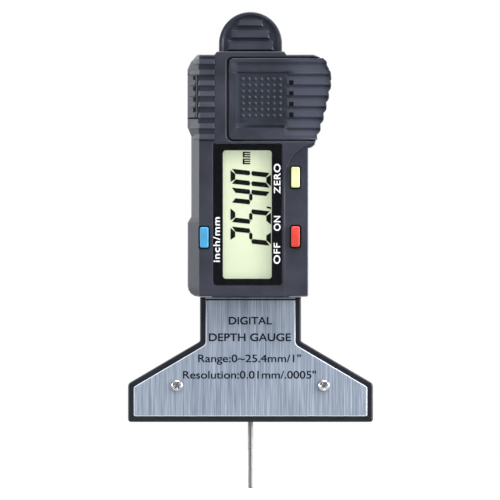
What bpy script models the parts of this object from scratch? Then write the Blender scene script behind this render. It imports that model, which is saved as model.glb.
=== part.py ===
"""Digital tread depth gauge: a tee-shaped measuring base, a display unit on its neck, and a slider that
carries the probe down through both.

Run it with blender --background --python part.py. Lengths are in millimetres, and MM turns them into
Blender's metres where a mesh or a location is made. X points right across the display, Y away from the
reader and Z up the gauge. The origin is on the measuring face, where the probe comes out.
"""

import math

import bmesh
import bpy
from mathutils import Matrix, Vector

MM = 0.001

# Travel of the slider, and how far the probe stands out of the measuring face at rest.
TRAVEL = 25.4
PROBE_OUT = 16.9

# Measuring base: a tee with a brushed plate let into its front.
BASE_WIDTH = 62.0
BASE_SIDE_HEIGHT = 9.7
SHOULDER_TOP = 20.4
NECK_WIDTH = 25.6
NECK_TOP = 31.6
BASE_FRONT = -4.2
BACK = 4.0
PLATE_BORDER = 1.45
PLATE_THICKNESS = 0.5
SPIGOT_WIDTH = 19.6
SPIGOT_TOP = 37.5

# Display unit: two shells that meet at the parting plane.
HOUSING_BOTTOM = 31.7
HOUSING_TOP = 93.0
HOUSING_FRONT = -9.6
PARTING = -1.2
SEAM = 0.15
WALL = 1.4
FLANK_TOP = 86.2  # where the finger grip on the right is widest
GRIP_BOTTOM = 71.4
GRIP_TOP = 92.2
GRIP_PITCH = 2.72  # from one grip rib to the next
COLLAR = [(9.7, 0.0), (8.9, 0.2), (8.5, 0.8)]  # how far the top rises beside the slider, and over it

# Slider: a flat beam with raised edges and a round thumb tab.
BEAM_WIDTH = 16.0
BEAM_HALF_DEPTH = 1.6
BEAM_RAIL = 0.5
RAIL_WIDTH = 0.95
BEAM_BOTTOM = 17.5
TAB_CENTRE = 95.85

PROBE_RADIUS = 0.65
STOP_PIN_HEIGHT = 62.0
STOP_PIN_RADIUS = 1.0

# Display stack, front to back.
WINDOW_LEFT, WINDOW_RIGHT = -6.95, 5.35
WINDOW_BOTTOM, WINDOW_TOP = 36.3, 68.7
BEZEL_LEFT, BEZEL_RIGHT = -9.4, 8.0
BEZEL_BOTTOM, BEZEL_TOP = 34.6, 70.5
BOARD_FRONT, BOARD_BACK = -3.3, -2.5
LCD_FRONT, LCD_BACK = -8.15, -6.35

BUTTON_WIDTH, BUTTON_HEIGHT = 2.3, 5.2
BUTTONS = {"units": (-11.7, 46.7), "zero": (11.35, 61.9), "power": (11.35, 46.9)}

CELL_CENTRE = (4.0, 82.0)
CELL_RADIUS = 5.8
CASE_SCREWS = [(-12.0, 36.0), (12.3, 36.0), (-11.8, 89.4), (12.6, 89.0)]
BOARD_SCREWS = [(-10.9, 54.5), (10.9, 54.5)]
PLATE_SCREWS = [(-18.6, 9.2), (18.6, 9.2)]
PORT_BOTTOM, PORT_TOP = 76.85, 87.85

TOUCH = 0.05  # between pieces that rest on each other
RUN = 0.15  # round a piece that slides

FINISHES = {
    "black_plastic": ((0.030, 0.032, 0.040), 0.45, 0.0),
    "slate_plastic": ((0.085, 0.095, 0.115), 0.50, 0.0),
    "brushed_plate": ((0.56, 0.62, 0.70), 0.35, 0.9),
    "steel": ((0.62, 0.62, 0.63), 0.25, 1.0),
    "nickel": ((0.75, 0.74, 0.70), 0.25, 1.0),
    "brass": ((0.72, 0.55, 0.25), 0.35, 1.0),
    "bezel_black": ((0.012, 0.012, 0.015), 0.20, 0.0),
    "clear_lens": ((0.90, 0.92, 0.88), 0.05, 0.0),
    "display_green": ((0.80, 0.93, 0.62), 0.20, 0.0),
    "board_green": ((0.03, 0.20, 0.09), 0.40, 0.0),
    "gold_contact": ((0.80, 0.62, 0.28), 0.30, 1.0),
    "rubber_strip": ((0.25, 0.25, 0.27), 0.80, 0.0),
    "chip_black": ((0.02, 0.02, 0.02), 0.55, 0.0),
    "button_blue": ((0.03, 0.36, 0.85), 0.35, 0.0),
    "button_yellow": ((0.90, 0.84, 0.42), 0.35, 0.0),
    "button_red": ((0.85, 0.06, 0.04), 0.35, 0.0),
}


# ---- Outlines: lists of (across, up) points, counter-clockwise ----


def rectangle(left, right, low, high):
    return [(left, low), (right, low), (right, high), (left, high)]


def rounded(corners, radii, steps=3):
    """The outline with each corner turned into an arc: one radius for all, or one for each corner."""
    if not isinstance(radii, list):
        radii = [radii] * len(corners)
    outline = []
    for i, corner in enumerate(corners):
        if not radii[i]:
            outline.append(corner)
            continue
        here = Vector(corner)
        back = (Vector(corners[i - 1]) - here).normalized()
        ahead = (Vector(corners[(i + 1) % len(corners)]) - here).normalized()
        half = back.angle(ahead) / 2
        centre = here + (back + ahead).normalized() * radii[i] / math.sin(half)
        start = here + back * radii[i] / math.tan(half) - centre
        end = here + ahead * radii[i] / math.tan(half) - centre
        first = math.atan2(start.y, start.x)
        sweep = math.remainder(math.atan2(end.y, end.x) - first, 2 * math.pi)
        outline += arc(centre, radii[i], first, first + sweep, steps)
    return outline


def arc(centre, radius, start, end, steps):
    """Points on an arc, from angle start to angle end, both ends included."""
    angles = [start + (end - start) * i / steps for i in range(steps + 1)]
    return [(centre[0] + radius * math.cos(a), centre[1] + radius * math.sin(a)) for a in angles]


def circle(radius, sides):
    return arc((0, 0), radius, 0, 2 * math.pi * (1 - 1 / sides), sides - 1)


def inset(outline, distance):
    """The outline moved inwards, so that each side lies distance from where it was."""
    moved = []
    for i, corner in enumerate(outline):
        here = Vector(corner)
        along = (here - Vector(outline[i - 1])).normalized()
        onward = (Vector(outline[(i + 1) % len(outline)]) - here).normalized()
        inward = Vector((-along.y, along.x)) + Vector((-onward.y, onward.x))
        inward.normalize()
        reach = distance / max(0.3, inward.dot(Vector((-along.y, along.x))))
        moved.append(tuple(here + inward * reach))
    return moved


def flank(height):
    """X of the finger grip's outer line at a height: a bulge that tapers towards the display."""
    below = max(0.0, FLANK_TOP - height)
    above = max(0.0, height - FLANK_TOP)
    return 20.55 - 0.165 * below - 0.0061 * below**2 - 0.06 * above**2


def heights(low, high, steps):
    return [low + (high - low) * i / steps for i in range(steps + 1)]


def housing_edges():
    """Pairs of points on the silhouette and on the front face, counter-clockwise from the lower left."""
    face_left, face_right, face_low, face_high = -12.9, 13.6, 32.0, 92.5
    left, waist, corner = -15.9, -15.0, 2.8
    turn = arc((left + corner, HOUSING_BOTTOM + corner), corner, math.pi, 1.5 * math.pi, 5)
    pairs = [(p, (face_left, max(p[1], face_low))) for p in turn]
    pairs += [
        ((14.65, HOUSING_BOTTOM), (face_right, face_low)),
        ((14.65, 69.3), (face_right, 69.5)),
        ((15.5, 69.5), (14.5, 69.9)),
        ((16.2, 70.2), (15.2, 70.5)),
        ((16.5, 71.0), (15.5, 71.1)),
    ]
    pairs += [((flank(z) - 0.6, z), (flank(z) - 1.6, z)) for z in heights(72.0, 91.4, 8)]
    pairs += [
        ((17.4, 92.4), (16.8, 92.1)),
        ((16.1, HOUSING_TOP), (15.6, face_high)),
        *(((x, HOUSING_TOP + rise), (x, face_high + rise)) for x, rise in COLLAR),
        *(((-x, HOUSING_TOP + rise), (-x, face_high + rise)) for x, rise in reversed(COLLAR)),
        ((-13.4, HOUSING_TOP), (-12.4, face_high)),
        ((-14.9, 91.4), (face_left, 91.4)),
        ((-15.7, 90.2), (face_left, 90.2)),
        ((-15.95, 89.2), (face_left, 89.2)),
        ((-15.95, 74.6), (face_left, 74.6)),
        ((waist, 72.3), (face_left, 72.3)),
        ((waist, 52.0), (face_left, 52.0)),
        ((left, 50.5), (face_left, 50.5)),
    ]
    return pairs


def base_corners():
    side, neck = BASE_WIDTH / 2, NECK_WIDTH / 2
    right = [(side, 0), (side, BASE_SIDE_HEIGHT), (neck, SHOULDER_TOP), (neck, NECK_TOP)]
    return right + [(-x, z) for x, z in reversed(right)]


def base_outline():
    return rounded(base_corners(), [0.6, 1.2, 0.8, 0, 0, 0.8, 1.2, 0.6])


def plate_outline(top, gap=0.0):
    """The front plate's outline, drawn in from the base's, and running up to the display unit."""
    drawn_in = inset(base_corners(), PLATE_BORDER - gap)
    corners = [(x, top if z > NECK_TOP - 2 * PLATE_BORDER else z) for x, z in drawn_in]
    return rounded(corners, [0.3, 0.6, 1.6, 0, 0, 1.6, 0.6, 0.3])


def grip_edge(low, high, steps):
    """The battery cover's scalloped right edge, going up."""
    edge = []
    for z in heights(low, high, steps):
        turn = (z - GRIP_BOTTOM - 1.3) / GRIP_PITCH
        stepped = z + GRIP_PITCH / (2 * math.pi) * math.sin(2 * math.pi * (turn - 0.12))
        notch = 0.3 * (1 - abs(math.sin(math.pi * turn))) ** 2
        edge.append((flank(stepped) - notch, z))
    return edge


# ---- Bodies ----


def finish(name):
    """The material of that name, made on first use."""
    if name in bpy.data.materials:
        return bpy.data.materials[name]
    colour, roughness, metallic = FINISHES[name]
    made = bpy.data.materials.new(name)
    made.use_nodes = True
    surface = made.node_tree.nodes["Principled BSDF"]
    surface.inputs["Base Color"].default_value = (*colour, 1)
    surface.inputs["Roughness"].default_value = roughness
    surface.inputs["Metallic"].default_value = metallic
    return made


def made(name, bm, material):
    """An object from a bmesh whose vertices are in millimetres."""
    bmesh.ops.scale(bm, vec=(MM, MM, MM), verts=bm.verts)
    bmesh.ops.recalc_face_normals(bm, faces=bm.faces)
    mesh = bpy.data.meshes.new(name)
    bm.to_mesh(mesh)
    bm.free()
    mesh.shade_smooth()
    mesh.set_sharp_from_angle(angle=math.radians(35))
    mesh.materials.append(finish(material))
    return linked(name, mesh)


def linked(name, mesh):
    body = bpy.data.objects.new(name, mesh)
    bpy.context.scene.collection.objects.link(body)
    return body


def loft(name, rings, material):
    """A closed body through rings of (x, y, z) points, all with the same number of points."""
    bm = bmesh.new()
    rows = [[bm.verts.new(point) for point in ring] for ring in rings]
    for low, high in zip(rows, rows[1:]):
        for i in range(len(low)):
            bm.faces.new((low[i - 1], low[i], high[i], high[i - 1]))
    bm.faces.new(rows[0])
    bm.faces.new(rows[-1])
    return made(name, bm, material)


def slab(name, outline, front, back, material):
    """An (x, z) outline, solid from front to back."""
    return loft(name, [[(x, y, z) for x, z in outline] for y in (front, back)], material)


def chamfered_slab(name, outline, front, back, chamfer, material):
    """A slab with its front and back edges bevelled."""
    narrow = inset(outline, chamfer)
    sections = [(narrow, front), (outline, front + chamfer), (outline, back - chamfer), (narrow, back)]
    return loft(name, [[(x, y, z) for x, z in points] for points, y in sections], material)


def column(name, outline, bottom, top, material):
    """An (x, y) outline, solid from bottom to top."""
    return loft(name, [[(x, y, z) for x, y in outline] for z in (bottom, top)], material)


def block(name, x, y, z, material="black_plastic"):
    """A block from (low, high) pairs."""
    return slab(name, rectangle(*x, *z), *y, material)


def turned(name, profile, sides, material, axis="Z"):
    """A body turned about Z or Y from (radius, along) points; the ends on the axis are closed."""
    rings = []
    for radius, along in profile:
        ring = [(x, y, along) for x, y in circle(radius, sides)]
        rings.append([(x, z, y) for x, y, z in ring] if axis == "Y" else ring)
    return loft(name, rings, material)


def peg(name, radius, x, z, front, back, material="black_plastic", sides=20):
    """A round peg along Y."""
    body = turned(name, [(radius, front), (radius, back)], sides, material, axis="Y")
    return placed(body, (x, 0, z))


def placed(body, location, parent=None, half_turn=False):
    body.location = Vector(location) * MM
    if half_turn:
        body.rotation_euler.z = math.pi
    if parent:
        body.parent = parent
    return body


def holder(name, location=(0, 0, 0)):
    """An empty on a joint's axis, for the pieces that move together."""
    empty = bpy.data.objects.new(name, None)
    empty.empty_display_size = 5 * MM
    bpy.context.scene.collection.objects.link(empty)
    return placed(empty, location)


def combine(body, tool, operation):
    tool.hide_render = True
    tool.display_type = "WIRE"
    modifier = body.modifiers.new(tool.name, "BOOLEAN")
    modifier.operation = operation
    modifier.object = tool


def cut(body, *tools):
    for tool in tools:
        combine(body, tool, "DIFFERENCE")


def add(body, *tools):
    for tool in tools:
        combine(body, tool, "UNION")


def baked(body):
    """The body with its modifiers applied and their tools removed, so that its mesh can be shared."""
    tools = [modifier.object for modifier in body.modifiers]
    graph = bpy.context.evaluated_depsgraph_get()
    mesh = bpy.data.meshes.new_from_object(body.evaluated_get(graph))
    body.modifiers.clear()
    body.data = mesh
    for tool in tools:
        bpy.data.objects.remove(tool)
    return body


# ---- Fasteners ----


def screw_mesh(name, head_radius, head_height, shank_radius, length, material):
    """A pan-head screw with a cross recess: its seat at y = 0, its head towards -Y, its shank towards +Y."""
    edge = 0.35 * head_height
    profile = [
        (head_radius - edge, -head_height),
        (head_radius, -head_height + edge),
        (head_radius, 0),
        (shank_radius, 0),
        (shank_radius, length - shank_radius),
        (0.4 * shank_radius, length),
    ]
    body = turned(name, profile, 20, material, axis="Y")
    arm, half = 0.62 * head_radius, 0.13 * head_radius
    quarter = [(half, half), (half, arm), (-half, arm)]
    cross = [(x * c - z * s, x * s + z * c) for c, s in ((1, 0), (0, 1), (-1, 0), (0, -1)) for x, z in quarter]
    cut(body, slab(name + "_cross", cross, -head_height - 1, -0.4 * head_height, material))
    bpy.context.view_layer.update()
    mesh = baked(body).data
    bpy.data.objects.remove(body)
    return mesh


def screws(prefix, places, seat, mesh, facing_back):
    for number, (x, z) in enumerate(places, 1):
        placed(linked(f"{prefix}_{number}", mesh), (x, seat, z), half_turn=facing_back)


# ---- Measuring base ----


def tee_base():
    base = chamfered_slab("tee_base", base_outline(), BASE_FRONT, BACK, 0.6, "black_plastic")
    half = SPIGOT_WIDTH / 2
    add(base, block("spigot", (-half, half), (-4.1, 2.6), (NECK_TOP - 1.5, SPIGOT_TOP)))
    recess_floor = BASE_FRONT - 0.1 + PLATE_THICKNESS + TOUCH
    cut(
        base,
        slab("plate_recess", plate_outline(NECK_TOP + 5, TOUCH), -6, recess_floor, "black_plastic"),
        block("beam_slot", (-8.25, 8.25), (-2.4, 1.85), (8.8, 40)),
        column("bush_seat", circle(1.75, 24), -1, 10, "black_plastic"),
        block("lock_groove", (-12, 12), (-5, -3.3), (33.2, 34.6)),
        *(peg(f"plate_thread_{x}", 0.75, x, z, -5, 1) for x, z in PLATE_SCREWS),
    )


def face_plate():
    front = BASE_FRONT - 0.1
    plate = slab("face_plate", plate_outline(NECK_TOP - 0.05), front, front + PLATE_THICKNESS, "brushed_plate")
    cut(plate, *(peg(f"plate_hole_{x}", 0.85, x, z, -6, -3) for x, z in PLATE_SCREWS))
    mesh = screw_mesh("plate_screw", 1.5, 0.75, 0.7, 4.6, "nickel")
    screws("plate_screw", PLATE_SCREWS, front - TOUCH, mesh, facing_back=False)


def probe_bush():
    bush = column("probe_bush", circle(1.7, 24), 0.4, 7.6, "brass")
    cut(bush, column("bush_bore", circle(PROBE_RADIUS + 0.08, 24), -1, 9, "brass"))


# ---- Display unit shells ----


def housing_ring(depth, share):
    """A section of the front shell: share runs from 0 on the silhouette to 1 on the front face."""
    return [
        (a[0] + (b[0] - a[0]) * share, depth, a[1] + (b[1] - a[1]) * share) for a, b in housing_edges()
    ]


def grip_cavity():
    """The hollow behind the battery cover, kept inside the space for the cover's skirt."""
    right = [(flank(z) - 4.2, z) for z in heights(73.0, 90.0, 4)]
    return [(-12.6, 69.6), (13.1, 69.6), *right, (14.6, 91.5), (-12.6, 91.5)]


def cover_bay():
    """The recess that the battery cover slides out of, open on the right."""
    left, low, high, far = -5.5, GRIP_BOTTOM - TOUCH, GRIP_TOP + TOUCH, 30
    return rounded([(left, low), (far, low), (far, high), (left, high)], [1.15, 0, 0, 1.15])


def front_housing():
    plastic = "slate_plastic"
    sections = [(PARTING - SEAM / 2, 0), (-5.5, 0), (-8.6, 0.756), (HOUSING_FRONT, 1)]
    shell = loft("front_housing", [housing_ring(*section) for section in sections], plastic)
    inner = HOUSING_FRONT + WALL
    bay_floor = -8.4
    cut(
        shell,
        block("board_cavity", (-13.0, 13.1), (inner, 1), (HOUSING_BOTTOM + 1.6, 70.6)),
        slab("grip_hollow", grip_cavity(), bay_floor + 1.3, 1, plastic),
    )
    add(
        shell,
        peg("cell_ring", CELL_RADIUS + 1.5, *CELL_CENTRE, -8.0, -2.35, sides=32),
        block("lock_rib", (-9.5, 9.5), (-6.0, -3.4), (HOUSING_BOTTOM + 0.8, 34.5)),
        *(peg(f"boss_{x}_{z}", 1.9, x, z, -8.0, PARTING - SEAM / 2) for x, z in CASE_SCREWS[2:]),
        *(peg(f"boss_{x}_{z}", 1.9, x, z, -7.6, PARTING - SEAM / 2) for x, z in CASE_SCREWS[:2]),
        *(peg(f"post_{x}", 1.5, x, z, -8.8, BOARD_FRONT - TOUCH) for x, z in BOARD_SCREWS),
        *left_ribs(),
    )
    skirt_line = [(flank(z) - 2.2, z) for z in heights(GRIP_BOTTOM - TOUCH, GRIP_TOP + TOUCH, 8)]
    skirt_bay = [(30, skirt_line[0][1]), (30, skirt_line[-1][1]), *reversed(skirt_line)]
    cell_x, cell_z = CELL_CENTRE
    cut(
        shell,
        slab("cover_bay", cover_bay(), -12, bay_floor, plastic),
        slab("skirt_bay", skirt_bay, -12, -2.9, plastic),
        block("tongue_groove_top", (-3.0, 30), (-8.95, bay_floor - 0.01), (91.0, GRIP_TOP + 0.4)),
        block("tongue_groove_low", (-3.0, 30), (-8.95, bay_floor - 0.01), (GRIP_BOTTOM - 0.45, 72.5)),
        peg("cell_pocket", CELL_RADIUS + 0.3, cell_x, cell_z, -10, -2.75, sides=32),
        block("contact_notch", (cell_x - 1.6, cell_x + 1.6), (-7.6, -2.8), (75.2, 77.0)),
        slab("bezel_seat", bezel_outline(TOUCH), -12, -8.85, plastic),
        slab("window_opening", window_outline(0.75), -12, -7, plastic),
        *(
            slab(f"button_hole_{name}", button_outline(x, z, RUN), -12, -8, plastic)
            for name, (x, z) in BUTTONS.items()
        ),
        block("port_recess", (-18, -13.25), (-8.7, -2.95), (PORT_BOTTOM - TOUCH, PORT_TOP + TOUCH)),
        block("port_window", (-14, -12), (-6.95, -4.05), (78.6, 86.0)),
        block("spigot_way", (-9.9, 9.9), (-4.2, 1), (30, 33.4)),
        block("beam_way", (-8.25, 8.25), (-2.45, 1), (90, 95)),
        *(peg(f"bore_{x}_{z}", 0.88, x, z, -6.6, 1) for x, z in CASE_SCREWS),
        *(peg(f"board_bore_{x}", 0.62, x, z, -6.5, -2) for x, z in BOARD_SCREWS),
    )


def left_ribs():
    """Short grip bars down the left of the front face."""
    ribs = []
    for number in range(7):
        low = 71.9 + number * GRIP_PITCH
        section = [(low, -9.3), (low, -9.9), (low + 1.5, -9.8), (low + 1.7, -9.3)]
        ends = [[(x, y, z) for z, y in section] for x in (-12.95, -9.1)]
        ribs.append(loft(f"grip_rib_{number}", ends, "slate_plastic"))
    return ribs


def rear_housing():
    silhouette = [a for a, _ in housing_edges()]
    back = inset(silhouette, 1.0)
    sections = [(silhouette, PARTING + SEAM / 2), (silhouette, BACK - 1.0), (back, BACK)]
    rings = [[(x, y, z) for x, z in points] for points, y in sections]
    shell = loft("rear_housing", rings, "slate_plastic")
    cut(
        shell,
        block("beam_channel", (-8.25, 8.25), (-3, 1.85), (30, 95)),
        block("spigot_pocket", (-9.9, 9.9), (-3, 2.7), (30, SPIGOT_TOP + 0.1)),
        block("spring_pocket", (8.0, 9.05), (-3, 1.2), (51, 77)),
        block("hollow_left", (-13.4, -9.6), (-3, 2.5), (39.5, 86.0)),
        block("hollow_right", (10.2, 13.2), (-3, 2.5), (39.5, 84.5)),
        peg("stop_pin_seat", STOP_PIN_RADIUS + TOUCH, 0, STOP_PIN_HEIGHT, 1, 3.0),
        *(peg(f"clearance_{x}_{z}", 0.95, x, z, -3, 5) for x, z in CASE_SCREWS),
        *(peg(f"counterbore_{x}_{z}", 1.75, x, z, 2.4, 5) for x, z in CASE_SCREWS),
    )
    mesh = screw_mesh("case_screw", 1.6, 1.2, 0.82, 8.0, "steel")
    screws("case_screw", CASE_SCREWS, 2.4 + TOUCH, mesh, facing_back=True)


# ---- Display and electronics ----


def bezel_outline(gap):
    box = rectangle(BEZEL_LEFT - gap, BEZEL_RIGHT + gap, BEZEL_BOTTOM - gap, BEZEL_TOP + gap)
    return rounded(box, 0.9)


def window_outline(gap):
    box = rectangle(WINDOW_LEFT - gap, WINDOW_RIGHT + gap, WINDOW_BOTTOM - gap, WINDOW_TOP + gap)
    return rounded(box, 0.6)


def display():
    bezel = slab("display_bezel", bezel_outline(0), -9.5, -8.9, "bezel_black")
    cut(bezel, slab("bezel_opening", window_outline(0), -12, -8, "bezel_black"))
    slab("display_window", window_outline(0.7), -8.84, -8.24, "clear_lens")
    block("lcd_glass", (-8.6, 6.9), (LCD_FRONT, LCD_BACK), (34.9, 70.0), "display_green")
    block("lcd_reflector", (-7.0, 5.3), (-6.3, -6.1), (35.2, 69.7), "display_green")
    for side, left in (("left", -8.5), ("right", 5.55)):
        gap = BOARD_FRONT - TOUCH
        block(f"zebra_strip_{side}", (left, left + 1.25), (-6.3, gap), (38.4, 68.0), "rubber_strip")


def main_board():
    outline = [(-12.7, 38.2), (12.8, 38.2), (12.8, 70.2), (-5.0, 70.2), (-5.0, 87.0), (-12.3, 87.0)]
    outline += [(-12.3, 70.2), (-12.7, 70.2)]
    board = slab("main_board", outline, BOARD_FRONT, BOARD_BACK, "board_green")
    cut(board, *(peg(f"board_hole_{x}", 0.75, x, z, -5, 0) for x, z in BOARD_SCREWS))
    mesh = screw_mesh("board_screw", 1.1, 0.6, 0.55, 3.6, "steel")
    screws("board_screw", BOARD_SCREWS, BOARD_BACK + TOUCH, mesh, facing_back=True)

    surface = BOARD_FRONT - TOUCH
    dome = [(0.8, -1.2), (2.2, -0.9), (3.0, 0)]
    chip = turned("controller_chip", dome, 20, "chip_black", axis="Y")
    placed(chip, (-0.5, surface, 47))
    crystal = turned("crystal_can", [(0.95, -3), (0.95, 3)], 16, "steel")
    placed(crystal, (-3.6, surface - 1.0, 58))
    block("capacitor", (1.6, 3.6), (surface - 1.1, surface), (56, 57.3), "gold_contact")
    for name, (x, z) in BUTTONS.items():
        switch = (x - 1, x + 1), (surface - 0.75, surface), (z - 1.5, z + 1.5)
        block(f"switch_{name}", *switch, "steel")
    block("data_port_socket", (-12.4, -10.6), (-5.2, surface), (78.8, 85.8), "bezel_black")


def button_outline(x, z, gap):
    half_width, half_height = BUTTON_WIDTH / 2 + gap, BUTTON_HEIGHT / 2 + gap
    return rounded(rectangle(x - half_width, x + half_width, z - half_height, z + half_height), 0.5)


def buttons():
    colours = {"units": "button_blue", "zero": "button_yellow", "power": "button_red"}
    for name, (x, z) in BUTTONS.items():
        axis = holder(f"{name}_button_axis", (x, HOUSING_FRONT, z))
        cap = slab(f"{name}_button", button_outline(0, 0, 0), -0.5, 1.9, colours[name])
        half = BUTTON_WIDTH / 2
        lip = block(f"{name}_lip", (-half, half), (1.45, 2.1), (-3.5, 3.5), colours[name])
        stem = peg(f"{name}_stem", 0.8, 0, 0, 1.9, 5.0, colours[name])
        add(cap, lip, stem)
        for piece in (cap, lip, stem):
            piece.parent = axis


# ---- Battery ----


def battery():
    x, z = CELL_CENTRE
    can, cap = CELL_RADIUS, CELL_RADIUS - 0.9
    profile = [(can - 0.3, -8.36), (can, -8.06), (can, -3.76), (cap, -3.66), (cap, -2.96)]
    placed(turned("battery_cell", profile, 32, "steel", axis="Y"), (x, 0, z))
    block("battery_contact_negative", (x - 1.6, x + 1.6), (-2.92, -2.79), (78, 86), "gold_contact")
    block("battery_contact_positive", (x - 1.4, x + 1.4), (-7.4, -3.0), (75.7, 75.95), "gold_contact")


def battery_cover():
    """The cover that carries the thumb pad: a plate with a scalloped skirt round the right side."""
    axis = holder("battery_cover_axis", (0, HOUSING_FRONT, (GRIP_BOTTOM + GRIP_TOP) / 2))
    plastic = "slate_plastic"
    edge = grip_edge(GRIP_BOTTOM, GRIP_TOP, 46)
    left = rounded([(-5.4, GRIP_TOP), (-5.4, GRIP_BOTTOM), (0, GRIP_BOTTOM), (0, GRIP_TOP)], 1.1)[:8]
    plate = slab("battery_cover", left + edge, HOUSING_FRONT, -8.45, plastic)
    inner = [(flank(z) - 2.1, z) for z in heights(GRIP_TOP, GRIP_BOTTOM, 8)]
    dish = rounded(rectangle(-4.3, 9.2, 75.2, 88.4), 2.5)
    add(
        plate,
        slab("cover_skirt", edge + inner, -9.0, -3.0, plastic),
        block("cover_tongue_top", (-2.0, 15.0), (-8.85, -8.46), (91.5, GRIP_TOP + 0.3)),
        block("cover_tongue_low", (-2.0, 14.0), (-8.85, -8.46), (GRIP_BOTTOM - 0.35, 72.0)),
    )
    cut(
        plate,
        slab("thumb_dish", dish, -12, HOUSING_FRONT + 0.45, plastic),
        *(
            block(f"grip_step_{n}", (9.9, 25), (-12, HOUSING_FRONT + 0.3), (z, z + 0.45))
            for n, z in enumerate(GRIP_BOTTOM + GRIP_PITCH * k - 0.2 for k in range(1, 7))
        ),
    )
    keep_in_place(axis, plate, *(modifier.object for modifier in plate.modifiers))


def keep_in_place(parent, *pieces):
    """Parents pieces that already stand where they belong."""
    bpy.context.view_layer.update()
    for piece in pieces:
        piece.parent = parent
        piece.matrix_parent_inverse = parent.matrix_world.inverted()


def data_port_cover():
    axis = holder("data_port_cover_axis", (-15.95, -6, (PORT_BOTTOM + PORT_TOP) / 2))
    section = [(-13.35, -8.6), (-13.35, -3.05), (-15.95, -3.05), (-15.95, -5.5), (-13.66, -8.6)]
    cover = column("data_port_cover", section, PORT_BOTTOM + 0.05, PORT_TOP - 0.05, "slate_plastic")
    tongue = block("port_tongue", (-13.6, -12.75), (-6.85, -4.15), (78.7, 85.9))
    add(cover, tongue)
    keep_in_place(axis, cover, tongue)


# ---- Slider ----


def beam_outline(gap):
    """The beam seen from the front, drawn in by gap: square below, round at the thumb tab."""
    half = BEAM_WIDTH / 2 - gap
    top = arc((0, TAB_CENTRE), half, 0, math.pi, 20)
    low = BEAM_BOTTOM - (10 if gap else 0)
    return [(-half, low), (half, low), *top]


def slider_beam():
    front = -BEAM_HALF_DEPTH - BEAM_RAIL
    beam = slab("slider_beam", beam_outline(0), front, BEAM_HALF_DEPTH, "slate_plastic")
    cut(beam, slab("scale_channel", beam_outline(RAIL_WIDTH), -5, -BEAM_HALF_DEPTH, "slate_plastic"))
    teeth = [(5.6, 100.2), (8.6, 97.1), (10.8, 94.1)]
    for number, (width, low) in enumerate(teeth, 1):
        section = [(low, -1.4), (low, -2.05), (low + 2.2, -1.55), (low + 2.2, -1.4)]
        ends = [[(x, y, z) for z, y in section] for x in (-width / 2, width / 2)]
        add(beam, loft(f"thumb_ridge_{number}", ends, "slate_plastic"))
    lowest = STOP_PIN_HEIGHT - PROBE_OUT - STOP_PIN_RADIUS - 0.1
    highest = STOP_PIN_HEIGHT + (TRAVEL - PROBE_OUT) + STOP_PIN_RADIUS + 0.1
    cut(
        beam,
        block("stop_groove", (-1.15, 1.15), (0.5, 3), (lowest, highest)),
        column("probe_hole", circle(PROBE_RADIUS + TOUCH, 24), BEAM_BOTTOM - 1, 24.2, "slate_plastic"),
        peg("grub_hole", 0.86, 0, 20.3, -4, -0.3),
    )
    return beam


def slider():
    axis = holder("slider_axis")
    beam = slider_beam()
    strip = (-6.4, 6.4), (-2.13, -BEAM_HALF_DEPTH - TOUCH), (23.5, 75.5)
    scale = block("scale_strip", *strip, "board_green")
    tip = [(PROBE_RADIUS - 0.2, -PROBE_OUT), (PROBE_RADIUS, -PROBE_OUT + 0.2), (PROBE_RADIUS, 24.1)]
    probe = turned("probe_rod", tip, 24, "steel")
    grub = peg("probe_grub_screw", 0.8, 0, 20.3, -1.5, -0.74, "steel")
    for piece in (beam, *(modifier.object for modifier in beam.modifiers), scale, probe, grub):
        piece.parent = axis


def slide_hardware():
    """The pin that stops the slider at both ends, and the bowed spring that rubs on its edge."""
    pin = turned("travel_stop_pin", [(STOP_PIN_RADIUS, 0.65), (STOP_PIN_RADIUS, 2.95)], 20, "steel", "Y")
    placed(pin, (0, 0, STOP_PIN_HEIGHT))
    rings = []
    for z in heights(52, 76, 10):
        x = BEAM_WIDTH / 2 + 0.1 + 0.6 * ((z - 64) / 12) ** 2
        rings.append([(x, -0.9, z), (x + 0.2, -0.9, z), (x + 0.2, 0.9, z), (x, 0.9, z)])
    loft("friction_spring", rings, "steel")


def main():
    for item in list(bpy.data.objects):
        bpy.data.objects.remove(item)
    tee_base()
    face_plate()
    probe_bush()
    front_housing()
    rear_housing()
    display()
    main_board()
    buttons()
    battery()
    battery_cover()
    data_port_cover()
    slider()
    slide_hardware()


main()
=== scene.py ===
"""The look of the tread depth gauge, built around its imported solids.

Lengths are in millimetres up to made(), which scales every new mesh by MM.
"""

import math

import bmesh
import bpy
import numpy as np
from mathutils import Matrix, Vector


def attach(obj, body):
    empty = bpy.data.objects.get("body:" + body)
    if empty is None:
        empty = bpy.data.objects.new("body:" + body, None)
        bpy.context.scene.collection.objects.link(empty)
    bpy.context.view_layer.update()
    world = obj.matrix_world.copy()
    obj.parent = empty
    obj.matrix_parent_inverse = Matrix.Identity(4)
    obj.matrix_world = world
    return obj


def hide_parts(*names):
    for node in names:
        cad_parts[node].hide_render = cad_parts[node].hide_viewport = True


MM = 0.001

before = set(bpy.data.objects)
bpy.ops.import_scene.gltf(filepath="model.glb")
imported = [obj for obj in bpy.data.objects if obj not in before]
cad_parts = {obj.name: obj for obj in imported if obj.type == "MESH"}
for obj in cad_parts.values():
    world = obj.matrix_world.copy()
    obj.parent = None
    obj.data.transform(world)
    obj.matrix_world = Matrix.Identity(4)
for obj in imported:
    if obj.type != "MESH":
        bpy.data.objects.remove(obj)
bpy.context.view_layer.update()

# ---- Dimensions shared with the solids ----

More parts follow.
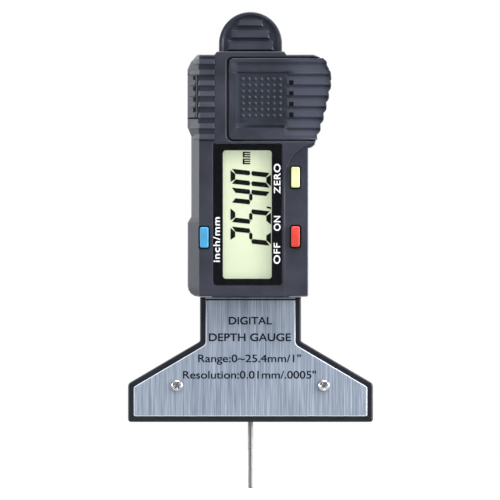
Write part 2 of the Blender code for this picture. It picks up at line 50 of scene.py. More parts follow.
BASE_HALF, BASE_SIDE = 31.0, 9.7
SHOULDER, NECK_HALF, NECK_TOP = 20.4, 12.8, 31.6
BASE_FRONT, BACK = -4.2, 4.0
PLATE_BORDER, PLATE_FRONT = 1.45, -4.3
HOUSING_BOTTOM, HOUSING_TOP = 31.7, 93.0
HOUSING_LEFT, HOUSING_RIGHT = -15.9, 14.65
HOUSING_FRONT, PARTING, SEAM, WALL = -9.6, -1.2, 0.15, 1.4
GRIP_BOTTOM, GRIP_TOP, GRIP_PITCH = 71.4, 92.05, 2.72
GRIP_WIDEST, GRIP_REACH = 86.2, 20.55
COVER_LEFT, COVER_RIBBED, COVER_BACK, BAY_FLOOR = -5.43, 12.0, -8.45, -8.4
SKIRT_BACK = -3.0
PROBE_RADIUS, PROBE_OUT = 0.65, 16.9
TAB_CENTRE, BEAM_HALF = 95.85, 8.0
WINDOW = (-6.95, 5.35, 36.3, 68.7)
BEZEL, BEZEL_FRONT = (-9.4, 8.0, 34.6, 70.5), -9.5
DISPLAY_FRONT = -8.0
BUTTONS = {"units": (-11.7, 46.7), "zero": (11.35, 61.9), "power": (11.35, 46.9)}
CELL = (4.0, 82.0)
CASE_SCREWS = [(-12.0, 36.0), (12.3, 36.0), (-11.8, 89.4), (12.6, 89.0)]
PLATE_SCREWS = [(-18.6, 9.2), (18.6, 9.2)]
PORT_LOW, PORT_HIGH = 76.85, 87.85
RIB_HEIGHT = 1.4
RIB_LINES = [GRIP_BOTTOM + 0.1 + GRIP_PITCH * k for k in range(8)]
COVER_LINES = [74.3 + 2.73 * k for k in range(6)]
DOTS, DOT_RADIUS, DOT_HEIGHT = 7, 0.42, 0.32


# ---- Outlines ----


def rectangle(left, right, low, high):
    return [(left, low), (right, low), (right, high), (left, high)]


def heights(low, high, steps):
    """Evenly spaced values from low to high."""
    return [low + (high - low) * i / steps for i in range(steps + 1)]


def arc(centre, radius, start, end, steps):
    x, z = centre
    return [(x + radius * math.cos(a), z + radius * math.sin(a)) for a in heights(start, end, steps)]


def rounded(corners, radii, steps=6):
    """An outline with its corners rounded; nearly straight corners stay as they are."""
    if not isinstance(radii, list):
        radii = [radii] * len(corners)
    outline = []
    for i, corner in enumerate(corners):
        here = Vector(corner)
        back = (Vector(corners[i - 1]) - here).normalized()
        ahead = (Vector(corners[(i + 1) % len(corners)]) - here).normalized()
        half = back.angle(ahead) / 2
        if not radii[i] or half > 1.5:
            outline.append(corner)
            continue
        centre = here + (back + ahead).normalized() * radii[i] / math.sin(half)
        start = here + back * radii[i] / math.tan(half) - centre
        end = here + ahead * radii[i] / math.tan(half) - centre
        first = math.atan2(start.y, start.x)
        sweep = math.remainder(math.atan2(end.y, end.x) - first, 2 * math.pi)
        outline += arc(centre, radii[i], first, first + sweep, steps)
    return outline


def circle(radius, sides):
    return arc((0, 0), radius, 0, 2 * math.pi * (1 - 1 / sides), sides - 1)


def inset(outline, distance):
    """A counter-clockwise outline drawn in by a distance."""
    shrunk = []
    for i, corner in enumerate(outline):
        here = Vector(corner)
        along = (here - Vector(outline[i - 1])).normalized()
        onward = (Vector(outline[(i + 1) % len(outline)]) - here).normalized()
        inward = Vector((-along.y, along.x)) + Vector((-onward.y, onward.x))
        inward.normalize()
        reach = distance / max(0.3, inward.dot(Vector((-along.y, along.x))))
        shrunk.append(tuple(here + inward * reach))
    return shrunk


def flank(z):
    """The bulging right side of the finger grip, without its steps."""
    below = max(0.0, GRIP_WIDEST - z)
    above = max(0.0, z - GRIP_WIDEST)
    return GRIP_REACH - 0.165 * below - 0.0061 * below**2 - 0.06 * above**2


def grip_x(z):
    """The stepped right edge of the battery cover."""
    turn = (z - GRIP_BOTTOM - 1.3) / GRIP_PITCH
    stepped = z + GRIP_PITCH / (2 * math.pi) * math.sin(2 * math.pi * (turn - 0.12))
    return flank(stepped) - 0.3 * (1 - abs(math.sin(math.pi * turn))) ** 2


# ---- Mesh helpers ----


def linked(name, data):
    piece = bpy.data.objects.new(name, data)
    bpy.context.scene.collection.objects.link(piece)
    return piece


def smooth(mesh, angle):
    """Shades smooth all but the edges sharper than angle degrees."""
    mesh.shade_smooth()
    mesh.set_sharp_from_angle(angle=math.radians(angle))


def made(name, bm, angle=35):
    """An object from a bmesh in millimetres."""
    bmesh.ops.remove_doubles(bm, verts=bm.verts, dist=0.003)
    bmesh.ops.scale(bm, vec=(MM, MM, MM), verts=bm.verts)
    bmesh.ops.recalc_face_normals(bm, faces=bm.faces)
    mesh = bpy.data.meshes.new(name)
    bm.to_mesh(mesh)
    bm.free()
    smooth(mesh, angle)
    return linked(name, mesh)


def loft(name, rings, angle=35):
    """A closed solid through rings of (x, y, z) points."""
    bm = bmesh.new()
    rows = [[bm.verts.new(point) for point in ring] for ring in rings]
    for low, high in zip(rows, rows[1:]):
        for i in range(len(low)):
            bm.faces.new((low[i - 1], low[i], high[i], high[i - 1]))
    bm.faces.new(rows[0])
    bm.faces.new(rows[-1])
    return made(name, bm, angle)


def layers(name, rings, angle=35):
    """A loft through (x, z) outlines, each at its own depth y."""
    return loft(name, [[(x, y, z) for x, z in outline] for outline, y in rings], angle)


def slab(name, outline, front, back):
    return layers(name, [(outline, front), (outline, back)])


def block(name, x, y, z):
    return slab(name, rectangle(*x, *z), *y)


def column(name, outline, bottom, top):
    return loft(name, [[(x, y, z) for x, y in outline] for z in (bottom, top)])


def soft_slab(name, outline, front, back, edge, steps=4, back_edge=None):
    """A slab whose front and back edges are rolled over with a radius."""
    back_edge = edge if back_edge is None else back_edge
    quarter = heights(0, math.pi / 2, steps)
    rings = []
    for a in quarter:
        rings.append((inset(outline, edge * (1 - math.sin(a))), front + edge * (1 - math.cos(a))))
    for a in quarter if back_edge else []:
        drawn_in = inset(outline, back_edge * (1 - math.cos(a)))
        rings.append((drawn_in, back - back_edge * (1 - math.sin(a))))
    if not back_edge:
        rings.append((outline, back))
    return layers(name, rings, 40)


def turned(name, profile, sides, axis="Z", angle=35):
    """A lathe shape from (radius, distance along the axis) stations."""
    rings = []
    for radius, along in profile:
        ring = [(x, y, along) for x, y in circle(radius, sides)]
        rings.append([(x, z, y) for x, y, z in ring] if axis == "Y" else ring)
    return loft(name, rings, angle)


def peg(name, radius, x, z, front, back, sides=40):
    return moved(turned(name, [(radius, front), (radius, back)], sides, "Y"), x=x, z=z)


def moved(piece, x=0, y=0, z=0, half_turn=False):
    matrix = Matrix.Translation((x * MM, y * MM, z * MM))
    piece.data.transform(matrix @ Matrix.Rotation(math.pi if half_turn else 0, 4, "Z"))
    return piece


def carve(piece, *tools, operation="DIFFERENCE"):
    """Applies Booleans one after another and throws their tools away."""
    for tool in tools:
        modifier = piece.modifiers.new("shape", "BOOLEAN")
        modifier.operation = operation
        modifier.object = tool
        bpy.context.view_layer.update()
        graph = bpy.context.evaluated_depsgraph_get()
        mesh = bpy.data.meshes.new_from_object(piece.evaluated_get(graph))
        piece.modifiers.clear()
        piece.data = mesh
        bpy.data.objects.remove(tool)
    return piece


def join(piece, *tools):
    return carve(piece, *tools, operation="UNION")


def merge(name, *parts):
    """One mesh of several closed shapes."""
    bm = bmesh.new()
    for part in parts:
        part.data.transform(part.matrix_world)
        bm.from_mesh(part.data)
        bpy.data.objects.remove(part)
    mesh = bpy.data.meshes.new(name)
    bm.to_mesh(mesh)
    bm.free()
    return linked(name, mesh)


def soften(piece, width=0.12, segments=2, angle=35):
    """Rolls every hard edge over."""
    bm = bmesh.new()
    bm.from_mesh(piece.data)
    bmesh.ops.remove_doubles(bm, verts=bm.verts, dist=0.004 * MM)
    bmesh.ops.dissolve_limit(bm, angle_limit=math.radians(0.5), verts=bm.verts, edges=bm.edges)
    bm.to_mesh(piece.data)
    bm.free()
    modifier = piece.modifiers.new("edges", "BEVEL")
    modifier.width = width * MM
    modifier.segments = segments
    modifier.limit_method = "ANGLE"
    modifier.angle_limit = math.radians(angle)
    modifier.use_clamp_overlap = False
    modifier.miter_outer = "MITER_ARC"
    piece.data.shade_smooth()
    piece.modifiers.new("normals", "WEIGHTED_NORMAL").keep_sharp = True
    return piece


# ---- Materials ----


def new_node(tree, kind, **values):
    node = tree.nodes.new(kind)
    for key, value in values.items():
        setattr(node, key, value)
    return node


def map_range(tree, start, end, low, high, **values):
    """A node that maps start to end onto low to high."""
    node = new_node(tree, "ShaderNodeMapRange", **values)
    sockets = ("From Min", "From Max", "To Min", "To Max")
    for socket, value in zip(sockets, (start, end, low, high)):
        node.inputs[socket].default_value = value
    return node


def shade(colour, factor):
    return tuple(factor * c for c in colour)


class Paint:
    """A node material put together step by step."""

    def __init__(self, name):
        self.material = bpy.data.materials.new(name)
        self.material.use_nodes = True
        self.tree = self.material.node_tree
        self.surface = self.tree.nodes["Principled BSDF"]

    def node(self, kind, **values):
        return new_node(self.tree, kind, **values)

    def link(self, source, target):
        self.tree.links.new(source, target)

    def place(self, scale=(1, 1, 1)):
        """The object's own coordinates, in millimetres."""
        coordinates = self.node("ShaderNodeTexCoord")
        mapping = self.node("ShaderNodeMapping")
        mapping.inputs["Scale"].default_value = [1000 * s for s in scale]
        self.link(coordinates.outputs["Object"], mapping.inputs["Vector"])
        return mapping.outputs["Vector"]

    def noise(self, size, detail=3, stretch=(1, 1, 1), roughness=0.5):
        """Noise whose lumps are about size millimetres across."""
        texture = self.node("ShaderNodeTexNoise")
        texture.inputs["Scale"].default_value = 1 / size
        texture.inputs["Detail"].default_value = detail
        texture.inputs["Roughness"].default_value = roughness
        self.link(self.place(stretch), texture.inputs["Vector"])
        return texture.outputs["Fac"]

    def ramp(self, source, stops):
        """Colours at (position, colour) stops along a texture's value."""
        ramp = self.node("ShaderNodeValToRGB")
        elements = ramp.color_ramp.elements
        while len(elements) < len(stops):
            elements.new(0.5)
        for element, (position, colour) in zip(elements, stops):
            element.position = position
            element.color = (*colour, 1)
        self.link(source, ramp.inputs["Fac"])
        return ramp.outputs["Color"]

    def spread(self, source, low, high, start=0.3, end=0.7):
        mapped = map_range(self.tree, start, end, low, high)
        self.link(source, mapped.inputs["Value"])
        return mapped.outputs["Result"]

    def mix(self, kind, factor, first, second):
        mixed = self.node("ShaderNodeMix", data_type="RGBA", blend_type=kind)
        for socket, value in ((0, factor), (6, first), (7, second)):
            if isinstance(value, (int, float)):
                mixed.inputs[socket].default_value = value
            elif isinstance(value, tuple):
                mixed.inputs[socket].default_value = (*value, 1)
            else:
                self.link(value, mixed.inputs[socket])
        return mixed.outputs[2]

    def vary(self, factor, colour, source, low, high, start=0.35, end=0.65):
        """A colour multiplied by greys from low to high that follow a texture."""
        greys = self.ramp(source, [(start, (low,) * 3), (end, (high,) * 3)])
        return self.mix("MULTIPLY", factor, colour, greys)

    def bump(self, source, depth, below=None):
        """Relief depth millimetres deep."""
        bump = self.node("ShaderNodeBump")
        bump.inputs["Distance"].default_value = depth * MM
        bump.inputs["Strength"].default_value = 1.0
        self.link(source, bump.inputs["Height"])
        if below:
            self.link(below, bump.inputs["Normal"])
        return bump.outputs["Normal"]

    def set(self, **values):
        for key, value in values.items():
            socket = self.surface.inputs[key.replace("_", " ")]
            if isinstance(value, tuple):
                socket.default_value = (*value, 1)
            elif isinstance(value, (int, float)):
                socket.default_value = value
            else:
                self.link(value, socket)


def srgb(r, g, b):
    """Scene-linear colour of 0 to 255 display values."""
    shares = (r / 255, g / 255, b / 255)
    return tuple(c / 12.92 if c < 0.04045 else ((c + 0.055) / 1.055) ** 2.4 for c in shares)


def moulded(name, colour, roughness=0.42, grain=0.0035, grain_size=0.16, shine=0.35, painted_light_span=None):
    """Moulded plastic: a fine spark-eroded grain, slight flow clouds and uneven sheen.

    Between the two x values in painted_light_span it turns paler: painted light, the ribbed side shown
    more brightly lit.
    """
    paint = Paint(name)
    clouds = paint.noise(6, 3)
    fine = paint.noise(grain_size, 2)
    base = paint.ramp(clouds, [(0.3, shade(colour, 0.8)), (0.7, shade(colour, 1.22))])
    if painted_light_span:
        axes = paint.node("ShaderNodeSeparateXYZ")
        paint.link(paint.place(), axes.inputs[0])
        # Painted light: paler from the first x value to the second, standing in for light falling on
        # the ribbed side.
        painted_light = paint.spread(axes.outputs["X"], 0, 1, *painted_light_span)
        base = paint.mix("MIX", painted_light, base, shade(colour, 1.5))
    speckled = paint.vary(0.25, base, fine, 0.6, 1.3)
    relief = paint.bump(fine, grain, paint.bump(paint.noise(2.4, 2), 0.006))
    sheen = paint.spread(clouds, roughness - 0.05, roughness + 0.06)
    paint.set(Base_Color=speckled, Roughness=sheen, Normal=relief, Specular_IOR_Level=shine)
    return paint.material


def glossy(name, colour, roughness=0.12):
    """Polished plastic with a trace of orange peel and fine dust."""
    paint = Paint(name)
    peel = paint.noise(1.6, 2)
    dust = paint.noise(0.12, 2)
    dusty = tuple(min(1, c + 0.12) for c in colour)
    base = paint.mix("MIX", paint.spread(dust, 0, 0.12, 0.62, 0.75), colour, dusty)
    paint.set(Base_Color=base, Roughness=paint.spread(peel, roughness * 0.8, roughness * 1.3))
    paint.set(Normal=paint.bump(peel, 0.002))
    return paint.material


def metal(name, colour, roughness=0.22, stretch=(1, 1, 1)):
    """Machined metal: fine tool marks and slightly cloudy polish."""
    paint = Paint(name)
    marks = paint.noise(0.12, 2, stretch)
    clouds = paint.noise(1.8, 3)
    base = paint.ramp(clouds, [(0.3, shade(colour, 0.85)), (0.7, colour)])
    polish = paint.spread(clouds, roughness * 0.75, roughness * 1.35)
    paint.set(Base_Color=base, Metallic=1.0, Roughness=polish, Normal=paint.bump(marks, 0.0006))
    return paint.material


def brushed_sheet():
    """Satin steel sheet, brushed up and down in long irregular strokes."""
    paint = Paint("brushed_sheet")
    fine = paint.noise(0.1, 2, (1, 1, 0.012), 0.6)
    strokes = paint.noise(0.19, 2, (1, 1, 0.014), 0.6)
    bands = paint.noise(1.6, 2, (1, 1, 0.03))
    patches = paint.noise(11, 2)
    tones = [(0.30, srgb(116, 129, 147)), (0.42, srgb(138, 150, 167)), (0.52, srgb(150, 161, 177))]
    tones += [(0.64, srgb(164, 174, 189)), (0.76, srgb(191, 200, 212))]
    tone = paint.ramp(strokes, tones)
    tone = paint.vary(0.8, tone, fine, 0.7, 1.3, 0.32, 0.68)
    tone = paint.vary(0.5, tone, bands, 0.92, 1.07)
    patchy = paint.ramp(patches, [(0.35, (0.92, 0.93, 0.96)), (0.65, (1.05, 1.05, 1.04))])
    tone = paint.mix("MULTIPLY", 0.5, tone, patchy)
    satin = paint.spread(strokes, 0.42, 0.55)
    paint.set(Base_Color=tone, Metallic=0.35, Roughness=satin, Anisotropic=0.4)
    paint.set(Normal=paint.bump(strokes, 0.002, paint.bump(fine, 0.001)))
    return paint.material


def glowing_display_field():
    """The pale green field of the display, with the soft mottling of its reflector, and a painted glow
    that lifts the shade in its recess.
    """
    paint = Paint("display_field")
    mottle = paint.noise(0.2, 2)
    cloud = paint.noise(14, 1)
    base = paint.ramp(cloud, [(0.3, srgb(196, 205, 178)), (0.7, srgb(202, 211, 183))])
    base = paint.vary(0.3, base, mottle, 0.95, 1.02)
    paint.set(Base_Color=base, Roughness=0.5, Specular_IOR_Level=0.3)
    # Painted light: the field glows with its own colour, though it is no lamp.
    paint.set(Emission_Color=base, Emission_Strength=0.5)
    return paint.material


def lens_clear():
    """Clear acrylic, all but invisible from in front."""
    paint = Paint("lens_clear")
    smears = paint.spread(paint.noise(3, 2), 0.03, 0.08)
    paint.set(Base_Color=(0.05, 0.06, 0.05), Roughness=smears, Alpha=0.05)
    return paint.material


def ink(name, colour, roughness=0.5, shine=0.4):
    """Printed ink, a little uneven."""
    paint = Paint(name)
    wear = paint.noise(0.25, 3)
    base = paint.ramp(wear, [(0.3, shade(colour, 0.85)), (0.7, colour)])
    sheen = paint.spread(wear, roughness - 0.08, roughness + 0.08)
    paint.set(Base_Color=base, Roughness=sheen, Specular_IOR_Level=shine)
    return paint.material


def circuit():
    """Green solder resist with copper tracks showing under it."""
    paint = Paint("circuit")
    tracks = paint.node("ShaderNodeTexBrick")
    tracks.inputs["Scale"].default_value = 0.7
    tracks.inputs["Mortar Size"].default_value = 0.06
    paint.link(paint.place(), tracks.inputs["Vector"])
    base = paint.mix("MIX", tracks.outputs["Fac"], (0.015, 0.16, 0.06), (0.05, 0.30, 0.10))
    paint.set(Base_Color=base, Roughness=paint.spread(paint.noise(1, 2), 0.3, 0.45))
    paint.set(Normal=paint.bump(tracks.outputs["Fac"], 0.03))
    return paint.material


LOOKS = {
    "slate": moulded("slate_plastic", srgb(48, 51, 62), 0.42),
    # Slate painted paler towards the cover's ribbed right side: painted light.
    "grip": moulded("slate_grip", srgb(48, 51, 62), 0.42, painted_light_span=(6.5, 13.5)),
    # A paler copy of the slate for the left grip bars: painted light on the raised bars.
    "bars": moulded("slate_bars_painted_light", srgb(57, 60, 71), 0.4),
    "tab": moulded("slate_tab", srgb(42, 46, 57), 0.42),
    # A darker copy of the slate for the dished thumb pad: painted shade in the dish; the coarser,
    # rougher grain is its own texture.
    "pad": moulded("slate_pad_painted_shade", srgb(33, 38, 50), 0.5, 0.008, 0.24),
    "black": moulded("black_plastic", srgb(29, 31, 40), 0.36, shine=0.25),
    "bezel": glossy("bezel_gloss", srgb(14, 15, 19), 0.16),
    "blue": moulded("blue_plastic", srgb(70, 154, 200), 0.38, 0.0015),
    "yellow": moulded("yellow_plastic", srgb(221, 219, 165), 0.38, 0.0015),
    "red": moulded("red_plastic", srgb(216, 71, 63), 0.38, 0.0015),
    "sheet": brushed_sheet(),
    # Near-white paint for the plate's bevelled rim: a painted highlight.
    "edge": ink("painted_highlight_edge", srgb(226, 233, 240), 0.4),
    "steel": metal("steel", (0.62, 0.62, 0.63), 0.24, (1, 1, 0.1)),
    "probe": metal("ground_steel", (0.275, 0.275, 0.28), 0.46, (1, 1, 0.05)),
    "brass": metal("brass", (0.76, 0.58, 0.28), 0.3),
    "gold": metal("gold_plate", (0.85, 0.66, 0.30), 0.25),
    "display": glowing_display_field(),
    "lens": lens_clear(),
    "segment": ink("segment_black", srgb(6, 7, 9), 0.5, 0.08),
    "white_ink": ink("white_ink", srgb(240, 242, 245)),
    "navy_ink": ink("navy_ink", srgb(22, 26, 44), 0.5, 0.15),
    "rubber": moulded("conductive_rubber", (0.06, 0.06, 0.07), 0.7),
    "chip": moulded("chip_epoxy", (0.01, 0.01, 0.012), 0.35),
    "circuit": circuit(),
}


def dress(piece, look, *nodes, body="gauge_body", slot=None):
    """Gives a piece its look, the body it rides on and the CAD nodes it stands for."""
    piece.data.materials.clear()
    piece.data.materials.append(LOOKS[look])
    if not piece.modifiers:
        piece.modifiers.new("normals", "WEIGHTED_NORMAL").keep_sharp = True
    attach(piece, body)
    if nodes:
        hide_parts(*nodes)
    return piece


def paint_faces(piece, look, chosen):
    """Gives the faces for which chosen is true a second look."""
    piece.data.materials.append(LOOKS[look])
    for face in piece.data.polygons:
        if chosen(face):
            face.material_index = 1


# ---- Measuring base ----


def base_corners():
    right = [(BASE_HALF, 0), (BASE_HALF, BASE_SIDE), (NECK_HALF, SHOULDER), (NECK_HALF, NECK_TOP)]
    return right + [(-x, z) for x, z in reversed(right)]


def plate_outline(top, gap=0.0):
    """The plate's outline, larger all round by the gap and cut off straight at the top."""
    drawn_in = inset(base_corners(), PLATE_BORDER - gap)
    corners = [(x, top if z > NECK_TOP - 2.9 else z) for x, z in drawn_in]
    return rounded(corners, [0.3, 0.6, 1.6, 0, 0, 1.6, 0.6, 0.3])


def tee_base():
    """The black moulding, its brushed plate and the bush that guides the probe."""
    outline = rounded(base_corners(), [0.75, 1.2, 0.8, 0, 0, 0.8, 1.2, 0.75])
    base = soft_slab("tee_base_body", outline, BASE_FRONT, BACK, 0.6, 5)
    join(base, block("spigot", (-9.8, 9.8), (-4.1, 2.6), (NECK_TOP - 1.5, 37.5)))
    carve(
        base,
        slab("recess", plate_outline(NECK_TOP + 5, 0.08), -6, -3.75),
        block("slot", (-8.25, 8.25), (-2.4, 1.85), (8.8, 40)),
        column("seat", circle(1.75, 40), -1, 10),
        block("foot_line", (-40, 40), (-9, -4.06), (1.34, 1.5)),
    )
    dress(soften(base, 0.1), "black", "tee_base", slot="black_plastic")

    plate = soft_slab("brushed_plate", plate_outline(NECK_TOP - 0.05), PLATE_FRONT, -3.8, 0.2, 3, 0)
    line_low, line_high = NECK_TOP - 0.82, NECK_TOP - 0.38
    carve(plate, block("line", (-14, 14), (-5, -3), (line_low, line_high)))
    dress(plate, "sheet", "face_plate", slot="brushed_plate")
    # The plate's bevel faces below the top line take the near-white look: a painted highlight along the
    # rim.
    paint_faces(plate, "edge", lambda face: abs(face.normal.y) < 0.985 and face.center.z < 30.5 * MM)
    bush = column("probe_bush_ring", circle(1.7, 40), 0.4, 7.6)
    carve(bush, column("bore", circle(0.73, 40), -1, 9))
    dress(soften(bush, 0.15), "brass", "probe_bush", slot="brass")


def cross_screw(name, head, height, shank, length):
    """A pan-head screw with a cross recess, facing -Y with its seat at y = 0."""
    crown = [(head * math.sin(a), -height * math.cos(a) ** 0.8) for a in heights(0.02, 1.35, 8)]
    profile = [*crown, (head, -0.12 * height), (head * 0.99, 0), (shank, 0)]
    profile += [(shank, length - shank), (0.3 * shank, length)]
    screw = turned(name, profile, 40, "Y", 50)
    arm, half = 0.72 * head, 0.19 * head
    quarter = [(half, half), (half, arm), (-half, arm)]
    turns = ((1, 0), (0, 1), (-1, 0), (0, -1))
    cross = [(x * c - z * s, x * s + z * c) for c, s in turns for x, z in quarter]
    deep = [(x * 0.45, z * 0.45) for x, z in cross]
    recess = layers("cross", [(cross, -height - 0.4), (cross, -0.55 * height), (deep, 0.1)])
    return soften(carve(screw, recess), 0.03, 1)


def screws():
    for number, (x, z) in enumerate(PLATE_SCREWS, 1):
        screw = cross_screw(f"plate_screw_{number}_fine", 1.5, 0.78, 0.7, 4.6)
        screw.data.transform(Matrix.Rotation(0.4 + 0.5 * number, 4, "Y"))
        screw = moved(screw, x=x, y=PLATE_FRONT - 0.05, z=z)
        dress(screw, "steel", f"plate_screw_{number}", slot="nickel")
    for number, (x, z) in enumerate(CASE_SCREWS, 1):
        screw = cross_screw(f"case_screw_{number}_fine", 1.6, 1.15, 0.82, 8.0)
        screw.data.transform(Matrix.Rotation(0.7 * number, 4, "Y"))
        screw = moved(moved(screw, half_turn=True), x=x, y=2.45, z=z)
        dress(screw, "steel", f"case_screw_{number}", slot="steel")


# ---- Display unit shells ----


def silhouette():
    """The outline of both shells from the front."""
    left, right, bottom, top = HOUSING_LEFT, HOUSING_RIGHT, HOUSING_BOTTOM, HOUSING_TOP
    grip = [(flank(z) - 0.6, z) for z in heights(72.0, 91.2, 12)]
    corners = [(left, bottom), (right, bottom), (right, 69.35), (15.5, 69.5), (16.3, 70.2)]
    radii = [2.8, 0.5, 0.15, 0.3, 0.5, 0.2]
    corners += [(16.55, 71.1), *grip]
    radii += [0] * len(grip)
    corners += [(17.6, 92.3), (16.1, top), (9.1, top), (8.5, top + 0.8), (-8.5, top + 0.8), (-9.1, top)]
    radii += [0.6, 0.5, 0.2, 0.2, 0.2, 0.2]
    corners += [(-13.4, top), (-15.1, 91.1), (left - 0.05, 89.2), (left - 0.05, 74.6)]
    radii += [0.7, 1.0, 1.0, 0.8]
    corners += [(left + 0.9, 72.3), (left + 0.9, 52.0), (left, 50.5)]
    radii += [0.8, 0.8, 0.8]
    return rounded(corners, radii, 4)


def on_face(x, z):
    """Where the silhouette's point lies on the front face."""
    across = max(x, -12.9) - 0.2 * min(1, max(0, (x - 10) / 4.6))
    return across, max(z, 32.0) - 0.22 * min(1, max(0, (z - 91.6) / 1.2))


def shell_ring(depth, share):
    """The silhouette at a depth, a share of the way to the front face's outline."""
    ring = []
    for x, z in silhouette():
        across, up = on_face(x, z)
        ring.append((x + (across - x) * share, depth, z + (up - z) * share))
    return ring


def rib_bar(name, low, tall, stations):
    """A raised bar along stations of (x, y, normal x, normal y, height)."""
    rings = []
    for x, y, nx, ny, height in stations:
        section = [(-0.1, -0.5), (0.06, height), (0.16, height)]
        section += [(tall - 0.12, height - 0.27), (tall, -0.5)]
        rings.append([(x + nx * out, y + ny * out, low + up) for up, out in section])
    return loft(name, rings)


SLOPE = (-0.802, -0.597)


def beside_port(low):
    """Whether the rib at this height crosses the data port cover."""
    return PORT_LOW - 0.5 < low < PORT_HIGH - 0.5


def left_ribs():
    """Bars that run over the face, round its left edge and down the slope."""
    faced = [(x, HOUSING_FRONT, 0, -1, out) for x, out in ((-9.0, -0.1), (-9.12, 0.3), (-9.3, 0.4))]
    faced.append((-12.85, HOUSING_FRONT, -0.2, -0.98, 0.4))
    turn = (-13.1, -9.4, -0.6, -0.8)
    bars = []
    for number, low in enumerate(RIB_LINES):
        if number in (0, 7):
            path = [(*turn, 0.24), (-14.2, -7.86, *SLOPE, 0.12), (-14.5, -7.46, *SLOPE, -0.15)]
        elif beside_port(low):
            path = [(*turn, 0.2), (-13.3, -9.1, *SLOPE, -0.1)]
        else:
            path = [(*turn, 0.28), (-15.1, -6.65, *SLOPE, 0.2), (-15.6, -5.98, *SLOPE, -0.1)]
        bars.append(rib_bar(f"rib_{number}", low, RIB_HEIGHT, faced + path))
    return bars


def crease():
    """The shallow tilted facet on the right of the face, under the finger grip."""
    start, pull, end = (16.0, 70.6), (9.6, 69.2), (8.65, 62.0)
    curve = []
    for t in heights(0, 1, 14):
        a, b, c = (1 - t) ** 2, 2 * t * (1 - t), t * t
        curve.append((a * start[0] + b * pull[0] + c * end[0], a * start[1] + b * pull[1] + c * end[1]))
    left, right, level_to = end[0], 16.5, 48.0
    outline = [(left, level_to), (left, 30.0), (right, 30.0), (right, level_to), (right, 70.6), *curve]
    floor = []
    for x, z in outline:
        depth = 0.02 + 0.05 * (x - left) + 0.017 * max(0, z - level_to)
        floor.append((x, HOUSING_FRONT + depth, z))
    return loft("crease", [[(x, -12, z) for x, z in outline], floor])


def widened(box, gap, radius):
    """A rounded rectangle that is a gap larger than its box all round."""
    left, right, low, high = box
    return rounded(rectangle(left - gap, right + gap, low - gap, high + gap), radius)


def window_outline(gap):
    return widened(WINDOW, gap, 0.7)


def bezel_outline(gap):
    return widened(BEZEL, gap, 0.95)


def button_outline(x, z, gap):
    return widened((x - 1.07, x + 1.07, z - 2.6, z + 2.6), gap, 0.45 + gap / 2)


def front_shell():
    """The front housing with its openings and battery bay, and the grip bars on its left."""
    profile = [(PARTING - SEAM / 2, 0), (-4.9, 0), (-5.3, 0.008), (-5.7, 0.055), (-6.2, 0.17)]
    profile += [(-9.2, 0.885), (-9.42, 0.935), (-9.55, 0.975), (HOUSING_FRONT, 1.0)]
    shell = loft("front_shell", [shell_ring(*section) for section in profile], 25)
    bulge = [(flank(z) - 4.2, z) for z in heights(73.0, 90.0, 4)]
    hollow = [(-12.6, 69.6), (13.1, 69.6), *bulge, (14.6, 91.5), (-12.6, 91.5)]
    carve(
        shell,
        block("cavity", (-13.0, 13.1), (HOUSING_FRONT + WALL, 1), (HOUSING_BOTTOM + 1.6, 70.6)),
        slab("hollow", hollow, BAY_FLOOR + 1.3, 1),
    )
    join(
        shell,
        peg("cell_ring", 7.3, *CELL, -8.0, -2.35, 64),
        *(peg("boss", 1.9, x, z, -7.6, PARTING - SEAM / 2) for x, z in CASE_SCREWS),
    )
    bed = (RIB_LINES[0] - 0.35, RIB_LINES[7] + 1.6)
    carve(shell, block("rib_bed", (-17.5, -8.97), (-12, HOUSING_FRONT + 0.21), bed))
    low, high = GRIP_BOTTOM - 0.4, GRIP_TOP + 0.28
    left = COVER_LEFT - 0.62
    bay = rounded(rectangle(left, 30, low, high), [1.5, 0, 0, 1.5])
    wide = rounded(rectangle(left - 0.2, 30, low - 0.2, high + 0.1), [1.7, 0, 0, 1.6])
    bay_rings = [(wide, -12), (wide, HOUSING_FRONT - 0.02)]
    bay_rings += [(bay, HOUSING_FRONT + 0.24), (bay, BAY_FLOOR)]
    skirt_line = [(flank(z) - 2.2, z) for z in heights(low, high, 16)]
    skirt_bay = [(30, low), (30, high), *reversed(skirt_line)]
    groove = (-8.95, BAY_FLOOR - 0.01)
    x, z = CELL
    carve(
        shell,
        crease(),
        block("edge_groove", (-13.16, -12.96), (-12, -9.3), (71.3, 91.4)),
        layers("bay", bay_rings),
        slab("skirt_bay", skirt_bay, -12, -2.9),
        block("groove_top", (-3.0, 16), groove, (91.0, high + 0.12)),
        block("groove_low", (-3.0, 16), groove, (low - 0.35, 72.5)),
        peg("pocket", 6.1, x, z, -10, -2.75, 64),
        block("notch", (x - 1.6, x + 1.6), (-7.6, -2.8), (75.2, 77.0)),
        slab("bezel_seat", bezel_outline(0.09), -12, -8.85),
        slab("window", window_outline(0.75), -12, -7),
        *(slab("hole", button_outline(bx, bz, 0.34), -12, -8) for bx, bz in BUTTONS.values()),
        block("port", (-18, -13.25), (-12, -2.95), (PORT_LOW - 0.15, PORT_HIGH + 0.15)),
        block("socket", (-14, -12), (-6.95, -4.05), (78.6, 86.0)),
        block("spigot_way", (-9.9, 9.9), (-4.2, 1), (30, 33.4)),
        block("beam_way", (-8.25, 8.25), (-2.45, 1), (90, 96)),
    )
    dress(soften(shell, 0.1), "slate", "front_housing", slot="slate_plastic")
    bars = merge("left_grip_bars", *left_ribs())
    smooth(bars.data, 30)
    dress(bars, "bars", slot="slate_plastic")


